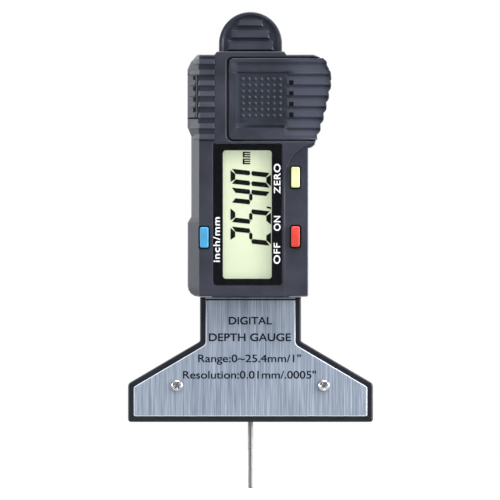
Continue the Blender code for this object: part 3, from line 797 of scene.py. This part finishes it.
def rear_shell():
    """The rear housing: it draws in round its back edge."""
    profile = [(PARTING + SEAM / 2, 0), (3.0, 0)]
    profile += [(3.0 + math.sin(a), 1 - math.cos(a)) for a in heights(0.2, math.pi / 2, 5)]
    middle = 62.4
    rings = []
    for depth, share in profile:
        narrower, shorter = 1 - 0.058 * share, 1 - 0.029 * share
        rings.append([(x * narrower, depth, middle + (z - middle) * shorter) for x, z in silhouette()])
    shell = loft("rear_shell", rings, 25)
    label = rounded(rectangle(-9.5, 9.5, 44, 78), 1.6)
    carve(
        shell,
        block("channel", (-8.25, 8.25), (-3, 1.85), (30, 96)),
        block("pocket", (-9.9, 9.9), (-3, 2.7), (30, 37.6)),
        slab("label", label, BACK - 0.25, BACK + 2),
        *(peg("clearance", 0.95, x, z, -3, 5) for x, z in CASE_SCREWS),
        *(peg("counterbore", 1.8, x, z, 2.4, 5) for x, z in CASE_SCREWS),
    )
    dress(soften(shell, 0.12), "slate", "rear_housing", slot="slate_plastic")


# ---- Battery cover with the thumb pad ----


def ramp(value, start, end):
    """0 at start, 1 at end, eased between; it also runs downwards."""
    t = np.clip((value - start) / (end - start), 0, 1)
    return t * t * (3 - 2 * t)


def cover_relief(x, z):
    """How deep the cover's face lies under its highest level.

    The dished thumb pad with its dots lies between two grooves, the ribs lie to its right.
    """
    dish_top, foot = COVER_LINES[5] + 0.25, COVER_LINES[0]
    body = ramp(x, -5.2, -3.0)
    ribbed = ramp(x, 8.3, 9.6)
    grooved = ramp(x, -5.2, -2.9) * (1 - ramp(x, 8.6, 12.0))
    knots = [(line + side, 0.05 if side > 0 else 0.6) for line in COVER_LINES for side in (-0.16, 0.16)]
    ribs = np.interp(z, *zip(*knots))
    above = np.interp(z, (dish_top, 90.8, 91.08), (0.08, 0.5, 0.02))
    above = above + 0.62 * grooved * np.interp(z, (dish_top + 0.1, dish_top + 0.75), (1, 0))
    bowl = (0.34 + 0.14 * np.sin(np.pi * np.clip((x + 3.0) / 12, 0, 1))) * ramp(x, -4.9, -2.4)
    bowl = bowl + 0.6 * grooved * ramp(x, -4.6, 0.6) * np.interp(z, (foot + 0.35, foot + 1.4), (1, 0))
    lower = np.interp(z, (foot - 1.9, foot - 0.16, foot + 0.16), (0.06, 0.56, 0.08))
    lower = 0.08 + (lower - 0.08) * (0.3 + 0.7 * ribbed)
    relief = np.where(z > dish_top, above, bowl + (ribs - bowl) * ribbed)
    relief = np.where(z < foot + 0.16, lower * ramp(z, 71.6, 72.2), relief)
    relief = relief * body + 0.36 * np.clip((x - 8.5) / 11, 0, 1) ** 1.4
    for line in COVER_LINES[1:5]:
        inside = (np.abs(x - 10.3) < 0.55) & (z > line + 0.04) & (z < line + 1.2)
        relief = np.where(inside, 1.12, relief)
    for i in range(DOTS):
        for j in range(DOTS):
            apart = (x + 1.94 - 1.566 * i) ** 2 + (z - 77.45 - 1.536 * j) ** 2
            relief = relief - DOT_HEIGHT * np.clip(1 - apart / DOT_RADIUS**2, 0, 1)
    return relief


def cover_grid():
    """Where the lines of the cover's mesh run, closer together at its edges and ribs.

    It returns heights, x values up to the ribs, shares of the way on, and distances from an edge.
    """
    edge = [0, 0.03, 0.08, 0.15, 0.24, 0.36]
    rows = {round(z, 3) for z in heights(GRIP_BOTTOM + edge[-1], GRIP_TOP - edge[-1], 140)}
    for line in [*COVER_LINES, 91.0, COVER_LINES[5] + 0.25, COVER_LINES[0] + 0.4]:
        rows -= {z for z in rows if abs(z - line) < 0.2}
        rows |= {line - 0.17, line - 0.04, line + 0.04, line + 0.17}
    rows |= {GRIP_BOTTOM + e for e in edge[:-1]} | {GRIP_TOP - e for e in edge[:-1]}
    near = [COVER_LEFT + e for e in edge] + heights(-5.0, 9.65, 100)
    near += [9.73, 9.77, 10.1, 10.5, 10.83, 10.87] + heights(11.0, COVER_RIBBED, 6)
    return sorted(rows), sorted(near), heights(0, 1, 34)[1:], edge


def cover_face():
    """Points over the whole face of the cover, as arrays of x, y and z."""
    rows, near, far, edge = cover_grid()
    corner, roll = 1.1, 0.32
    grid = []
    for z in rows:
        close = max(0, corner - min(z - GRIP_BOTTOM, GRIP_TOP - z))
        left = COVER_LEFT + corner - math.sqrt(max(0, corner**2 - close**2))
        right = grip_x(z)
        xs = [max(x, left) for x in near]
        xs += [COVER_RIBBED + (right - edge[-1] - COVER_RIBBED) * f for f in far]
        xs += [right - e for e in reversed(edge[:-1])]
        grid.append([(x, z) for x in xs])
    points = np.array(grid)
    x, z = points[..., 0], points[..., 1]
    level = cover_relief(x, z)
    limit = np.array([[row[0][0], row[-1][0]] for row in grid])
    apart = np.minimum.reduce([x - limit[:, :1], limit[:, 1:] - x, z - GRIP_BOTTOM, GRIP_TOP - z])
    corner_z = np.maximum(np.maximum(GRIP_BOTTOM + corner - z, z - GRIP_TOP + corner), 0)
    corner_x = np.maximum(COVER_LEFT + corner - x, 0)
    apart = np.where((corner_z > 0) & (corner_x > 0), corner - np.hypot(corner_x, corner_z), apart)
    apart = np.clip(apart, 0, roll)
    level = level * ramp(apart, 0.05, roll) + roll - np.sqrt(roll**2 - (roll - apart) ** 2)
    return x, HOUSING_FRONT + level, z


def on_pad(face):
    x, y, z = face.center / MM
    return -4.3 < x < 9.2 and 75.6 < z < 88.2 and y < -8.8


def battery_cover():
    """The sliding cover: its face closed at the back, the skirt on its right and two tongues."""
    bm = bmesh.new()
    lattice = []
    for row in np.stack(cover_face(), axis=-1):
        lattice.append([bm.verts.new(point) for point in row])
    for low, high in zip(lattice, lattice[1:]):
        for j in range(len(low) - 1):
            bm.faces.new((low[j], low[j + 1], high[j + 1], high[j]))
    bmesh.ops.remove_doubles(bm, verts=bm.verts, dist=0.003)
    rim = [e for e in bm.edges if e.is_boundary]
    back = bmesh.ops.extrude_edge_only(bm, edges=rim)["geom"]
    for vert in (v for v in back if isinstance(v, bmesh.types.BMVert)):
        vert.co.y = COVER_BACK
    bmesh.ops.holes_fill(bm, edges=[e for e in bm.edges if e.is_boundary], sides=0)
    plate = made("cover_plate", bm, 50)
    outer = [(grip_x(v), v) for v in heights(GRIP_BOTTOM, GRIP_TOP, 120)]
    inner = [(flank(v) - 2.1, v) for v in heights(GRIP_TOP, GRIP_BOTTOM, 16)]
    skirt = slab("skirt", outer + inner, COVER_BACK - 0.01, SKIRT_BACK)
    tongue = (-8.85, COVER_BACK - 0.01)
    top = block("tongue_top", (-2.0, 15.0), tongue, (91.5, GRIP_TOP + 0.2))
    low = block("tongue_low", (-2.0, 14.0), tongue, (GRIP_BOTTOM - 0.35, 72.0))
    cover = merge("battery_cover_fine", plate, skirt, top, low)
    smooth(cover.data, 42)
    dress(cover, "grip", "battery_cover", body="battery_cover", slot="slate_plastic")
    # The pad's faces take the darker look: painted shade in the dish.
    paint_faces(cover, "pad", on_pad)


def port_cover():
    """The cover over the data port, with the ribs that continue across it."""
    section = [(-13.35, -9.0), (-13.35, -3.05), (-15.9, -3.05), (-15.9, -5.55), (-13.5, -8.75)]
    outline = rounded(section, [0.1, 0.1, 0.2, 0.5, 0.3], 4)
    cover = column("port_cover_fine", outline, PORT_LOW + 0.05, PORT_HIGH - 0.05)
    bars = []
    for number, low in enumerate(RIB_LINES):
        if beside_port(low):
            path = [(-13.6, -8.6, *SLOPE, -0.1), (-13.85, -8.3, *SLOPE, 0.3)]
            path += [(-15.1, -6.62, *SLOPE, 0.26), (-15.5, -6.1, *SLOPE, -0.1)]
            bars.append(rib_bar(f"bar_{number}", max(low, PORT_LOW + 0.2), RIB_HEIGHT, path))
    for line in RIB_LINES[3:7]:
        carve(cover, block("dimple", (-14.55, -13.78), (-12, -7.35), (line - 1.3, line - 0.25)))
    join(cover, block("tongue", (-13.6, -12.75), (-6.85, -4.15), (78.7, 85.9)), *bars)
    dress(soften(cover, 0.1), "slate", "data_port_cover", body="data_port_cover", slot="slate_plastic")


# ---- Display ----


def display():
    """The glossy frame, its clear window and the display glass behind."""
    bezel = slab("bezel_frame", bezel_outline(0), BEZEL_FRONT, -8.9)
    carve(bezel, slab("opening", window_outline(0), -12, -7))
    dress(soften(bezel, 0.12, 3), "bezel", "display_bezel", slot="bezel_black")
    lens = slab("lens", window_outline(0.7), -8.84, -8.74)
    dress(lens, "lens", "display_window", slot="clear_lens")
    field = slab("display_field", rectangle(-8.6, 6.9, 34.9, 70.0), DISPLAY_FRONT, -6.35)
    dress(field, "display", "lcd_glass", slot="display_green")


def flat_shapes(name, shapes, front, thickness):
    """Thin plates from (x, z) outlines."""
    bm = bmesh.new()
    for shape in shapes:
        rings = [[bm.verts.new((x, y, z)) for x, z in shape] for y in (front, front + thickness)]
        bm.faces.new(rings[0])
        bm.faces.new(rings[1])
        for i in range(len(shape)):
            bm.faces.new((rings[0][i - 1], rings[0][i], rings[1][i], rings[1][i - 1]))
    return made(name, bm)


def seven_segment(lit, width, height, thick):
    """Outlines of a numeral's lit bars, in (along, up); m is half way up, g half a gap."""
    w, h, t, m, g = width, height, thick, height / 2, 0.07
    k, n, near, far = 0.25 * t, 0.6 * t, t + 0.12, w - t - 0.12
    bars = {
        "a": [(k + g, h), (w - k - g, h), (w - t - g, h - t), (t + g, h - t)],
        "b": [(w, h - k - g), (w, m + 0.32), (w - n, m + 0.12), (w - t, m + 0.45), (w - t, h - t - g)],
        "c": [(w, k + g), (w - t, t + g), (w - t, m - 0.45), (w - n, m - 0.12), (w, m - 0.32)],
        "d": [(k + g, 0), (t + g, t), (w - t - g, t), (w - k - g, 0)],
        "e": [(0, k + g), (0, m - 0.32), (n, m - 0.12), (t, m - 0.45), (t, t + g)],
        "f": [(0, h - k - g), (t, h - t - g), (t, m + 0.45), (n, m + 0.12), (0, m + 0.32)],
        "g": [(0.75 * t, m), (near, m + 0.42), (far, m + 0.42), (w - 0.75 * t, m)],
    }
    bars["g"] += [(far, m - 0.42), (near, m - 0.42)]
    return [bars[bar] for bar in lit]


def digits():
    """The reading, turned a quarter so that its top points left."""
    lean, foot, shapes = 0.11, 5.2, []
    figures = (("abged", 44.6), ("afgcd", 49.53), ("fgbc", 54.45), ("abcdef", 59.21))
    for lit, start in figures:
        for bar in seven_segment(lit, 3.77, 10.25, 1.2):
            shapes.append([(foot - up, start + along + lean * up) for along, up in bar])
    shapes.append([(4.1, 54.15), (4.1, 54.6), (5.2, 54.35), (5.2, 53.85)])
    for start in (65.2, 66.92):
        shapes.append(rectangle(-1.95, -1.5, start, start + 1.45))
        shapes += [rectangle(-1.5, -0.05, start + s, start + s + 0.33) for s in (0, 0.56, 1.12)]
    plates = flat_shapes("display_digits", shapes, DISPLAY_FRONT - 0.05, 0.04)
    dress(plates, "segment", slot="display_green")


CAPITAL = 0.729  # height of a capital in the built-in font, at size 1


def cleaned(mesh, distance):
    """The mesh as a bmesh with doubled vertices joined and faces turned outwards."""
    bm = bmesh.new()
    bm.from_mesh(mesh)
    bmesh.ops.remove_doubles(bm, verts=bm.verts, dist=distance)
    bmesh.ops.recalc_face_normals(bm, faces=bm.faces)
    return bm


def embolden(mesh, amount):
    """Thickens the strokes of extruded letters."""
    bm = cleaned(mesh, 0.0005)
    for vert in bm.verts:
        outward = sum((f.normal for f in vert.link_faces if abs(f.normal.z) < 0.5), Vector())
        vert.co += Vector((outward.x, outward.y, 0)).normalized() * amount
    bm.to_mesh(mesh)
    bm.free()


def lettering(name, words, centre, length, tall, look, depth, bold, upright=True, spacing=1.0):
    """Printed words of a given length and capital height; not upright, they read upwards."""
    curve = bpy.data.curves.new(name, "FONT")
    curve.body = words
    curve.extrude = 0.01
    curve.resolution_u = 6
    curve.space_character = spacing
    text = linked(name, curve)
    bpy.context.view_layer.update()
    graph = bpy.context.evaluated_depsgraph_get()
    mesh = bpy.data.meshes.new_from_object(text.evaluated_get(graph))
    bpy.data.objects.remove(text)
    embolden(mesh, bold)
    spots = np.empty(len(mesh.vertices) * 3, np.float32)
    mesh.vertices.foreach_get("co", spots)
    spots = spots.reshape(-1, 3)
    low, high = spots.min(axis=0), spots.max(axis=0)
    spots -= (low + high) / 2
    spots[:, 1] += (low[1] + high[1]) / 2 - CAPITAL / 2
    along = spots[:, 0] * (length / (high[0] - low[0]))
    up = spots[:, 1] * (tall / CAPITAL)
    x, z = (centre[0] + along, centre[1] + up) if upright else (centre[0] - up, centre[1] + along)
    places = np.stack([x, depth - spots[:, 2], z], axis=1) * MM
    mesh.vertices.foreach_set("co", places.astype(np.float32).ravel())
    mesh.update()
    bm = cleaned(mesh, 0.001 * MM)
    bm.to_mesh(mesh)
    bm.free()
    return dress(linked(name, mesh), look)


def labels():
    """White words beside the buttons, reading upwards, and dark ones across the plate."""
    beside = {"look": "white_ink", "depth": BEZEL_FRONT - 0.005, "bold": 0.022}
    beside |= {"upright": False, "spacing": 1.1}
    lettering("label_units", "inch/mm", (-8.62, 46.15), 11.4, 1.72, **beside)
    lettering("label_zero", "ZERO", (6.68, 61.55), 7.55, 1.68, **beside)
    lettering("label_on", "ON", (6.68, 50.25), 3.78, 1.68, **beside)
    lettering("label_off", "OFF", (6.62, 42.65), 5.3, 1.68, **beside)
    across = {"look": "navy_ink", "depth": PLATE_FRONT - 0.005}
    lettering("plate_kind", "DIGITAL", (-0.05, 25.7), 10.9, 1.95, bold=0.026, **across)
    lettering("plate_use", "DEPTH GAUGE", (-0.15, 21.5), 20.8, 2.0, bold=0.026, **across)
    lettering("plate_range", 'Range:0~25.4mm/1"', (-0.25, 16.15), 26.0, 2.0, bold=0.016, **across)
    lettering("plate_step", 'Resolution:0.01mm/.0005"', (-0.25, 12.0), 33.7, 2.0, bold=0.016, **across)


def buttons():
    looks = {"units": "blue", "zero": "yellow", "power": "red"}
    for name, (x, z) in BUTTONS.items():
        cap = soft_slab(f"{name}_cap", button_outline(x, z, 0), -10.1, -7.5, 0.3, 4, 0.1)
        button = f"{name}_button"
        dress(cap, looks[name], button, body=button, slot=f"button_{looks[name]}")


# ---- Slider ----


def tab_outline(gap, low):
    """The beam's outline down to a height, drawn in by a gap."""
    half = BEAM_HALF - gap
    return [(-half, low), (half, low), *arc((0, TAB_CENTRE), half, 0, math.pi, 48)]


def slider():
    """The beam with its round thumb tab and three steps, and the probe clamped in it."""
    beam = soft_slab("slider_tab", tab_outline(0, 17.5), -2.1, 1.6, 0.38, 4)
    rim = ((0.55, -5), (0.75, -2.1), (1.2, -1.55))
    carve(beam, layers("channel", [(tab_outline(gap, 10), y) for gap, y in rim]))
    for half, low, tall in ((2.85, 100.05, 2.0), (4.5, 97.0, 2.3), (5.5, 93.95, 2.6)):
        top = low + tall
        foot = [(-half - 0.5, low), (half + 0.5, low), (half + 0.9, top), (-half - 0.9, top)]
        crest = [(-half, low + 0.32), (half, low + 0.32), (half - 0.2, top), (-half + 0.2, top)]
        rings = [[(x, y, z) for x, z in foot] for y in (-1.2, -1.5)]
        rings.append([(x, -2.12 if z < low + 0.5 else -1.6, z) for x, z in crest])
        join(beam, loft("ridge", rings))
    stop_groove = block("stop_groove", (-1.15, 1.15), (0.5, 3), (44, 71.6))
    carve(beam, stop_groove, column("rod_hole", circle(0.7, 32), 16, 24.2))
    dress(soften(beam, 0.1), "tab", "slider_beam", body="slider", slot="slate_plastic")
    tip = ((0.2, 0), (0.46, 0.04), (0.6, 0.14), (PROBE_RADIUS, 0.3))
    profile = [*((radius, along - PROBE_OUT) for radius, along in tip), (PROBE_RADIUS, 24.1)]
    dress(turned("probe_fine", profile, 64), "probe", "probe_rod", body="slider", slot="steel")


def inner_parts():
    """The solids that show as they are only get their looks."""
    steel = ["battery_cell", "board_screw_1", "board_screw_2", "crystal_can"]
    steel += ["switch_units", "switch_zero", "switch_power"]
    steel += ["travel_stop_pin", "friction_spring", "probe_grub_screw"]
    nodes = {
        "steel": steel,
        "gold": ["battery_contact_negative", "battery_contact_positive", "capacitor"],
        "display": ["lcd_reflector"],
        "rubber": ["zebra_strip_left", "zebra_strip_right"],
        "circuit": ["main_board", "scale_strip"],
        "chip": ["controller_chip"],
        "bezel": ["data_port_socket"],
    }
    for look, names in nodes.items():
        for name in names:
            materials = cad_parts[name].data.materials
            materials.clear()
            materials.append(LOOKS[look])


# ---- Studio ----

LEFT_GLOW, RIGHT_GLOW, TOP_GLOW, BACK_GLOW, ROOM_GLOW = 0.5, 1.0, 0.9, 2.0, 0.01
FLOOR_LEVEL, FLOOR_RADIUS = -0.0173, 0.6
CAMERA_DISTANCE, VIEW_WIDTH, SENSOR = 3.0, 0.12633, 36
VIEW_X, VIEW_Z = -0.000126, 0.04353


def surroundings(tree):
    """White seen directly; as light, glowing sides, top and back, and a dim front."""
    direction = new_node(tree, "ShaderNodeTexCoord").outputs["Generated"]
    axes = new_node(tree, "ShaderNodeSeparateXYZ")
    tree.links.new(direction, axes.inputs[0])
    total = None
    panels = [("X", -0.2, -0.95, LEFT_GLOW), ("X", 0.3, 0.95, RIGHT_GLOW)]
    panels += [("Z", 0.3, 0.95, TOP_GLOW), ("Y", -0.05, 0.35, BACK_GLOW)]
    for axis, start, full, strength in panels:
        spread = map_range(tree, start, full, 0, strength, interpolation_type="SMOOTHSTEP")
        tree.links.new(axes.outputs[axis], spread.inputs["Value"])
        added = new_node(tree, "ShaderNodeMath", operation="ADD")
        tree.links.new(spread.outputs["Result"], added.inputs[0])
        added.inputs[1].default_value = ROOM_GLOW
        if total:
            tree.links.new(total, added.inputs[1])
        total = added.outputs[0]
    chosen = new_node(tree, "ShaderNodeMix", data_type="FLOAT")
    direct = new_node(tree, "ShaderNodeLightPath").outputs["Is Camera Ray"]
    tree.links.new(direct, chosen.inputs[0])
    tree.links.new(total, chosen.inputs[2])
    chosen.inputs[3].default_value = 1.0
    background = tree.nodes["Background"]
    background.inputs["Color"].default_value = (1, 1, 1, 1)
    tree.links.new(chosen.outputs[0], background.inputs["Strength"])


def studio():
    scene = bpy.context.scene
    scene.view_settings.view_transform = "Standard"
    world = bpy.data.worlds.new("studio")
    world.use_nodes = True
    scene.world = world
    surroundings(world.node_tree)

    floor = linked("floor", bpy.data.meshes.new("floor"))
    round_edge = circle(FLOOR_RADIUS, 64)
    floor.data.from_pydata([(x, y, FLOOR_LEVEL) for x, y in round_edge], [], [range(64)])
    paint = Paint("floor_paper")
    tint = paint.ramp(paint.noise(60, 2), [(0.3, (0.34, 0.34, 0.34)), (0.7, (0.36, 0.36, 0.36))])
    direct = paint.node("ShaderNodeLightPath").outputs["Is Camera Ray"]
    seen = paint.spread(direct, 0.04, 1, 0, 1)
    paint.set(Base_Color=tint, Roughness=0.9, Specular_IOR_Level=0.0)
    paint.set(Emission_Color=(1.0, 1.0, 1.0), Emission_Strength=seen)
    floor.data.materials.append(paint.material)

    def softbox(name, place, width, height, power):
        light = bpy.data.lights.new(name, "AREA")
        light.shape = "RECTANGLE"
        light.size, light.size_y = width, height
        light.energy = power
        lamp = linked(name, light)
        lamp.location = place
        aim = Vector((0, 0, 0.05)) - Vector(place)
        lamp.rotation_euler = aim.to_track_quat("-Z", "Y").to_euler()
        lamp.visible_camera = False

    softbox("left_box", (-0.75, -0.12, 0.08), 0.35, 0.5, 3.6)
    softbox("top_box", (0.1, -0.27, 0.79), 0.6, 0.4, 7.4)
    softbox("right_box", (0.72, -0.2, 0.14), 0.4, 0.6, 10.6)

    lens = bpy.data.cameras.new("camera")
    lens.sensor_width = SENSOR
    lens.clip_start = 0.05
    lens.lens = SENSOR * CAMERA_DISTANCE / VIEW_WIDTH
    camera = linked("camera", lens)
    camera.location = (VIEW_X, HOUSING_FRONT * MM - CAMERA_DISTANCE, VIEW_Z)
    camera.rotation_euler = (math.pi / 2, 0, 0)
    scene.camera = camera


tee_base()
screws()
front_shell()
rear_shell()
battery_cover()
port_cover()
display()
digits()
labels()
buttons()
slider()
inner_parts()
studio()
